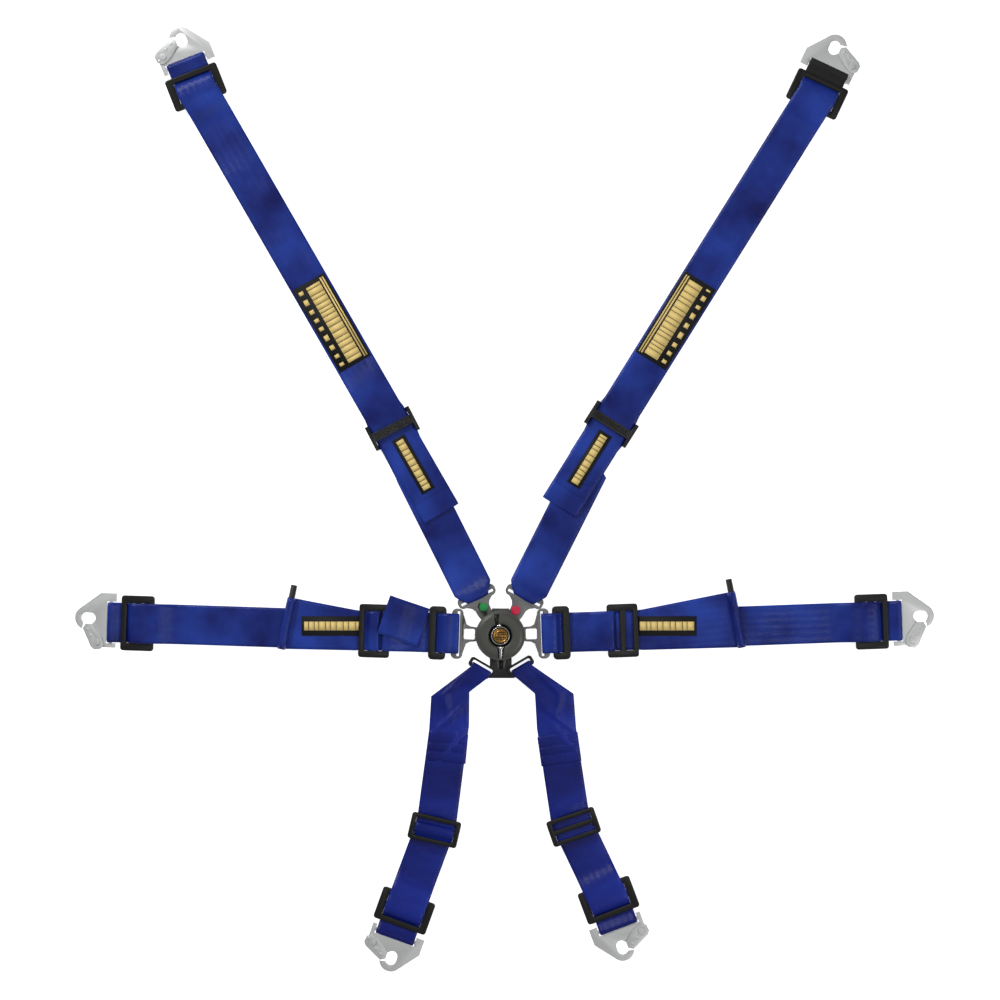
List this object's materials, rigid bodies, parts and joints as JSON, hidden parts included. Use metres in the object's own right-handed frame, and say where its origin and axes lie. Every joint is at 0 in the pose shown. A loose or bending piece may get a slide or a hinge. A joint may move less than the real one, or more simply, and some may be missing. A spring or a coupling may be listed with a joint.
{
  "type": "racing harness",
  "caption": "Racing harness with shoulder, lap and crotch belts on a rotary quick release buckle, snap hooks at the belt ends.",
  "frame": {"origin": "centre of the rotary buckle on its flat back face", "axes": "+Z out of the buckle's face, away from the driver; +Y between the shoulder belts; +X to the viewer's right"},
  "size_m": [1.059, 1.165, 0.0264],
  "materials": {
    "webbing": "woven polyester, royal blue",
    "label": "woven label, black with gold",
    "zinc": "zinc plated pressed steel",
    "steel": "plain steel, matt",
    "marker_green": "gloss",
    "marker_red": "gloss",
    "chrome": "polished",
    "brass": "satin",
    "black_plastic": "matt",
    "black_metal": "black coated steel, satin",
    "cap_alloy": "dark anodised aluminium, satin"
  },
  "bodies": {
    "buckle": {"buckle_back_plate": "cap_alloy", "buckle_housing": "cap_alloy", "latch_pins": "steel", "return_spring": "steel", "spindle": "steel", "back_screws": "steel", "lap_right_tongue": "steel", "lap_right_tongue_adjuster": "black_metal", "lap_right_inner_webbing": "webbing", "lap_right_adjuster": "black_metal", "lap_right_tail": "webbing", "lap_right_pull_tube": "black_plastic"},
    "rotary_cap": {"rotary_cap": "cap_alloy", "cap_bezel": "chrome", "emblem_disc": "brass"},
    "shoulder_left_lower": {"shoulder_left_tongue": "steel", "shoulder_left_marker": "marker_green", "shoulder_left_lower_webbing": "webbing", "shoulder_left_adjuster": "black_metal"},
    "shoulder_left_upper": {"shoulder_left_upper_webbing": "webbing", "shoulder_left_labels": "label", "shoulder_left_slide": "black_metal"},
    "shoulder_left_hook": {"shoulder_left_hook": "zinc"},
    "shoulder_left_gate": {"shoulder_left_gate": "zinc"},
    "shoulder_right_lower": {"shoulder_right_tongue": "steel", "shoulder_right_marker": "marker_red", "shoulder_right_lower_webbing": "webbing", "shoulder_right_adjuster": "black_metal"},
    "shoulder_right_upper": {"shoulder_right_upper_webbing": "webbing", "shoulder_right_labels": "label", "shoulder_right_slide": "black_metal"},
    "shoulder_right_hook": {"shoulder_right_hook": "zinc"},
    "shoulder_right_gate": {"shoulder_right_gate": "zinc"},
    "lap_left_inner": {"lap_left_tongue": "steel", "lap_left_tongue_adjuster": "black_metal", "lap_left_inner_webbing": "webbing", "lap_left_adjuster": "black_metal", "lap_left_tail": "webbing", "lap_left_pull_tube": "black_plastic"},
    "lap_left_outer": {"lap_left_outer_webbing": "webbing", "lap_left_slide": "black_metal"},
    "lap_left_hook": {"lap_left_hook": "zinc"},
    "lap_left_gate": {"lap_left_gate": "zinc"},
    "lap_right_outer": {"lap_right_outer_webbing": "webbing", "lap_right_slide": "black_metal"},
    "lap_right_hook": {"lap_right_hook": "zinc"},
    "lap_right_gate": {"lap_right_gate": "zinc"},
    "crotch_strap": {"crotch_bracket": "black_metal", "crotch_left_upper_webbing": "webbing", "crotch_left_adjuster": "black_metal", "crotch_right_upper_webbing": "webbing", "crotch_right_adjuster": "black_metal"},
    "crotch_left_lower": {"crotch_left_lower_webbing": "webbing", "crotch_left_slide": "black_metal"},
    "crotch_left_hook": {"crotch_left_hook": "zinc"},
    "crotch_left_gate": {"crotch_left_gate": "zinc"},
    "crotch_right_lower": {"crotch_right_lower_webbing": "webbing", "crotch_right_slide": "black_metal"},
    "crotch_right_hook": {"crotch_right_hook": "zinc"},
    "crotch_right_gate": {"crotch_right_gate": "zinc"}
  },
  "joints": [
    {"name": "cap_turn", "type": "hinge", "parent": "buckle", "child": "rotary_cap", "pos_m": [0, 0, 0.018], "axis": [0, 0, 1], "range_deg": [-50, 50], "stiffness_Nm_per_rad": 0.15},
    {"name": "shoulder_left_release", "type": "slide", "parent": "buckle", "child": "shoulder_left_lower", "axis": [-0.4478, 0.8942, 0], "range_m": [0, 0.03]},
    {"name": "shoulder_left_length", "type": "slide", "parent": "shoulder_left_lower", "child": "shoulder_left_upper", "axis": [-0.4992, 0.8665, 0], "range_m": [-0.04, 0.085]},
    {"name": "shoulder_left_hook_tilt", "type": "hinge", "parent": "shoulder_left_upper", "child": "shoulder_left_hook", "pos_m": [-0.38746, 0.70611, 0.0046], "axis": [0.9304, 0.3665, 0], "range_deg": [0, 45]},
    {"name": "shoulder_left_gate_swing", "type": "hinge", "parent": "shoulder_left_hook", "child": "shoulder_left_gate", "pos_m": [-0.41565, 0.7122, 0.0074], "axis": [0, 0, -1], "range_deg": [0, 24], "stiffness_Nm_per_rad": 0.05},
    {"name": "shoulder_right_release", "type": "slide", "parent": "buckle", "child": "shoulder_right_lower", "axis": [0.4493, 0.8934, 0], "range_m": [0, 0.03]},
    {"name": "shoulder_right_length", "type": "slide", "parent": "shoulder_right_lower", "child": "shoulder_right_upper", "axis": [0.529, 0.8486, 0], "range_m": [-0.04, 0.085]},
    {"name": "shoulder_right_hook_tilt", "type": "hinge", "parent": "shoulder_right_upper", "child": "shoulder_right_hook", "pos_m": [0.40459, 0.6969, 0.0046], "axis": [0.9048, -0.4258, 0], "range_deg": [0, 45]},
    {"name": "shoulder_right_gate_swing", "type": "hinge", "parent": "shoulder_right_hook", "child": "shoulder_right_gate", "pos_m": [0.43312, 0.70116, 0.0074], "axis": [0, 0, 1], "range_deg": [0, 24], "stiffness_Nm_per_rad": 0.05},
    {"name": "lap_left_release", "type": "slide", "parent": "buckle", "child": "lap_left_inner", "axis": [-0.9995, 0.0323, 0], "range_m": [0, 0.03]},
    {"name": "lap_left_length", "type": "slide", "parent": "lap_left_inner", "child": "lap_left_outer", "axis": [-0.9995, 0.0323, 0], "range_m": [-0.02, 0.03]},
    {"name": "lap_left_hook_tilt", "type": "hinge", "parent": "lap_left_outer", "child": "lap_left_hook", "pos_m": [-0.48025, 0.01551, 0.0046], "axis": [0.0323, 0.9995, 0], "range_deg": [0, 45]},
    {"name": "lap_left_gate_swing", "type": "hinge", "parent": "lap_left_hook", "child": "lap_left_gate", "pos_m": [-0.49702, -0.00796, 0.0074], "axis": [0, 0, -1], "range_deg": [0, 24], "stiffness_Nm_per_rad": 0.05},
    {"name": "lap_right_length", "type": "slide", "parent": "buckle", "child": "lap_right_outer", "axis": [0.9994, 0.0358, 0], "range_m": [-0.02, 0.03]},
    {"name": "lap_right_hook_tilt", "type": "hinge", "parent": "lap_right_outer", "child": "lap_right_hook", "pos_m": [0.49069, 0.01756, 0.0046], "axis": [0.0358, -0.9994, 0], "range_deg": [0, 45]},
    {"name": "lap_right_gate_swing", "type": "hinge", "parent": "lap_right_hook", "child": "lap_right_gate", "pos_m": [0.50753, -0.00585, 0.0074], "axis": [0, 0, 1], "range_deg": [0, 24], "stiffness_Nm_per_rad": 0.05},
    {"name": "crotch_release", "type": "slide", "parent": "buckle", "child": "crotch_strap", "axis": [0, -1, 0], "range_m": [0, 0.03]},
    {"name": "crotch_left_length", "type": "slide", "parent": "crotch_strap", "child": "crotch_left_lower", "axis": [-0.3486, -0.9373, 0], "range_m": [-0.012, 0.025]},
    {"name": "crotch_left_hook_tilt", "type": "hinge", "parent": "crotch_left_lower", "child": "crotch_left_hook", "pos_m": [-0.12943, -0.3708, 0.0046], "axis": [-0.9409, 0.3387, 0], "range_deg": [0, 45]},
    {"name": "crotch_left_gate_swing", "type": "hinge", "parent": "crotch_left_hook", "child": "crotch_left_gate", "pos_m": [-0.15743, -0.37772, 0.0074], "axis": [0, 0, 1], "range_deg": [0, 24], "stiffness_Nm_per_rad": 0.05},
    {"name": "crotch_right_length", "type": "slide", "parent": "crotch_strap", "child": "crotch_right_lower", "axis": [0.4305, -0.9026, 0], "range_m": [-0.012, 0.025]},
    {"name": "crotch_right_hook_tilt", "type": "hinge", "parent": "crotch_right_lower", "child": "crotch_right_hook", "pos_m": [0.14506, -0.35775, 0.0046], "axis": [-0.9361, -0.3518, 0], "range_deg": [0, 45]},
    {"name": "crotch_right_gate_swing", "type": "hinge", "parent": "crotch_right_hook", "child": "crotch_right_gate", "pos_m": [0.17316, -0.36428, 0.0074], "axis": [0, 0, -1], "range_deg": [0, 24], "stiffness_Nm_per_rad": 0.05}
  ]
}
